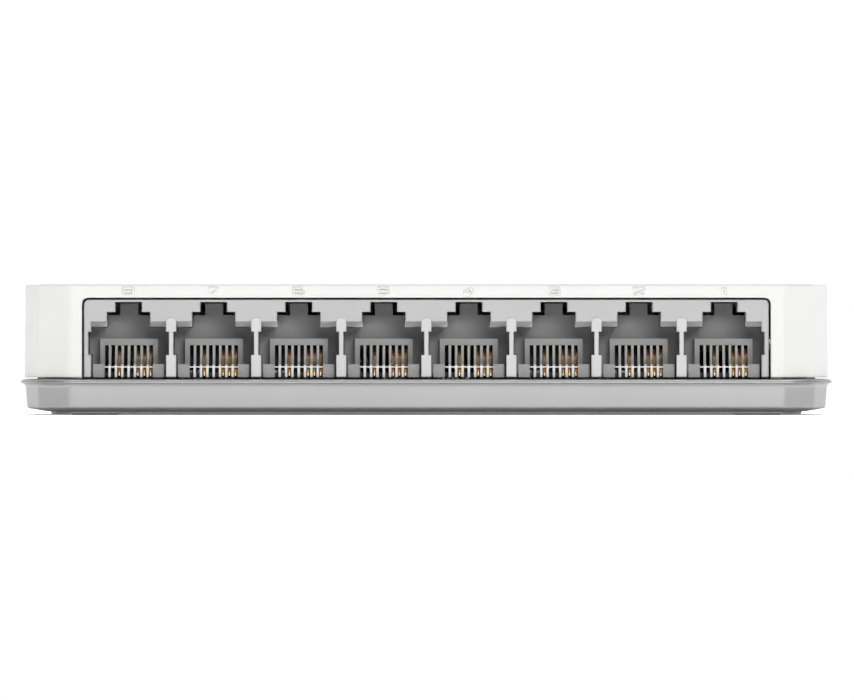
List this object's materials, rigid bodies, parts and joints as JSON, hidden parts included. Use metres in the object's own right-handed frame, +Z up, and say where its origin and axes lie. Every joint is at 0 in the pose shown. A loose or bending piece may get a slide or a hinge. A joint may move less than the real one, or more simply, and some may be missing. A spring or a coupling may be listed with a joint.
{
  "type": "desktop network switch",
  "caption": "Small desktop network switch: white cover on a flared grey tray, a row of modular jacks in the rear wall, lamps in the front wall and a power socket in one side.",
  "frame": {"origin": "bottom centre of the outer box, on the surface that the feet stand on", "axes": "+X towards port 1 and the power socket, +Y towards the lamps in the front wall, +Z up; the jacks face -Y"},
  "size_m": [0.1334, 0.075, 0.0215],
  "materials": {
    "white_plastic": "moulded white plastic with a very fine satin texture",
    "grey_plastic": "moulded light grey plastic, satin",
    "jack_plastic": "light grey glass-filled plastic, semi-matt",
    "insert_plastic": "grey glass-filled plastic, matt",
    "contact_gold": "gold plated spring wire",
    "nickel": "bright nickel plating",
    "black_plastic": "black moulded plastic, semi-matt",
    "chip_epoxy": "black moulding epoxy, matt",
    "board_green": "green solder mask over glass laminate",
    "capacitor_sleeve": "dark shrink sleeve over an aluminium can",
    "lamp_clear": "clear moulded light guide",
    "foot_rubber": "soft black rubber",
    "screw_zinc": "zinc plated steel"
  },
  "bodies": {
    "root": {"top_cover": "white_plastic", "base_tray": "grey_plastic", "circuit_board": "board_green", "jack_housing": "jack_plastic", "socket_body": "black_plastic", "socket_pin": "nickel", "switch_chip": "chip_epoxy", "transformer_left": "black_plastic", "transformer_right": "black_plastic", "crystal": "nickel", "capacitor": "capacitor_sleeve", "inductor": "chip_epoxy", "light_guide": "lamp_clear", "foot_front_left": "foot_rubber", "foot_front_right": "foot_rubber", "foot_rear_left": "foot_rubber", "foot_rear_right": "foot_rubber", "screw_left": "screw_zinc", "screw_right": "screw_zinc", "contact_insert_1": "insert_plastic", "contact_insert_2": "insert_plastic", "contact_insert_3": "insert_plastic", "contact_insert_4": "insert_plastic", "contact_insert_5": "insert_plastic", "contact_insert_6": "insert_plastic", "contact_insert_7": "insert_plastic", "contact_insert_8": "insert_plastic"},
    "contacts_1": {"contact_1_pin_1": "contact_gold", "contact_1_pin_2": "contact_gold", "contact_1_pin_3": "contact_gold", "contact_1_pin_6": "contact_gold"},
    "contacts_2": {"contact_2_pin_1": "contact_gold", "contact_2_pin_2": "contact_gold", "contact_2_pin_3": "contact_gold", "contact_2_pin_6": "contact_gold"},
    "contacts_3": {"contact_3_pin_1": "contact_gold", "contact_3_pin_2": "contact_gold", "contact_3_pin_3": "contact_gold", "contact_3_pin_6": "contact_gold"},
    "contacts_4": {"contact_4_pin_1": "contact_gold", "contact_4_pin_2": "contact_gold", "contact_4_pin_3": "contact_gold", "contact_4_pin_6": "contact_gold"},
    "contacts_5": {"contact_5_pin_1": "contact_gold", "contact_5_pin_2": "contact_gold", "contact_5_pin_3": "contact_gold", "contact_5_pin_6": "contact_gold"},
    "contacts_6": {"contact_6_pin_1": "contact_gold", "contact_6_pin_2": "contact_gold", "contact_6_pin_3": "contact_gold", "contact_6_pin_6": "contact_gold"},
    "contacts_7": {"contact_7_pin_1": "contact_gold", "contact_7_pin_2": "contact_gold", "contact_7_pin_3": "contact_gold", "contact_7_pin_6": "contact_gold"},
    "contacts_8": {"contact_8_pin_1": "contact_gold", "contact_8_pin_2": "contact_gold", "contact_8_pin_3": "contact_gold", "contact_8_pin_6": "contact_gold"},
    "socket_spring": {"socket_leaf": "nickel"}
  },
  "joints": [
    {"name": "contacts_1_press", "type": "hinge", "parent": "root", "child": "contacts_1", "pos_m": [0.0489, -0.03355, 0.00679], "axis": [-1, 0, 0], "range_deg": [0, 12], "stiffness_Nm_per_rad": 0.13},
    {"name": "contacts_2_press", "type": "hinge", "parent": "root", "child": "contacts_2", "pos_m": [0.03492, -0.03355, 0.00679], "axis": [-1, 0, 0], "range_deg": [0, 12], "stiffness_Nm_per_rad": 0.13},
    {"name": "contacts_3_press", "type": "hinge", "parent": "root", "child": "contacts_3", "pos_m": [0.02096, -0.03355, 0.00679], "axis": [-1, 0, 0], "range_deg": [0, 12], "stiffness_Nm_per_rad": 0.13},
    {"name": "contacts_4_press", "type": "hinge", "parent": "root", "child": "contacts_4", "pos_m": [0.00698, -0.03355, 0.00679], "axis": [-1, 0, 0], "range_deg": [0, 12], "stiffness_Nm_per_rad": 0.13},
    {"name": "contacts_5_press", "type": "hinge", "parent": "root", "child": "contacts_5", "pos_m": [-0.00698, -0.03355, 0.00679], "axis": [-1, 0, 0], "range_deg": [0, 12], "stiffness_Nm_per_rad": 0.13},
    {"name": "contacts_6_press", "type": "hinge", "parent": "root", "child": "contacts_6", "pos_m": [-0.02096, -0.03355, 0.00679], "axis": [-1, 0, 0], "range_deg": [0, 12], "stiffness_Nm_per_rad": 0.13},
    {"name": "contacts_7_press", "type": "hinge", "parent": "root", "child": "contacts_7", "pos_m": [-0.03492, -0.03355, 0.00679], "axis": [-1, 0, 0], "range_deg": [0, 12], "stiffness_Nm_per_rad": 0.13},
    {"name": "contacts_8_press", "type": "hinge", "parent": "root", "child": "contacts_8", "pos_m": [-0.0489, -0.03355, 0.00679], "axis": [-1, 0, 0], "range_deg": [0, 12], "stiffness_Nm_per_rad": 0.13},
    {"name": "socket_leaf_press", "type": "hinge", "parent": "root", "child": "socket_spring", "pos_m": [0.05552, -0.0148, 0.0115], "axis": [0, 0, -1], "range_deg": [0, 5], "stiffness_Nm_per_rad": 0.14}
  ]
}
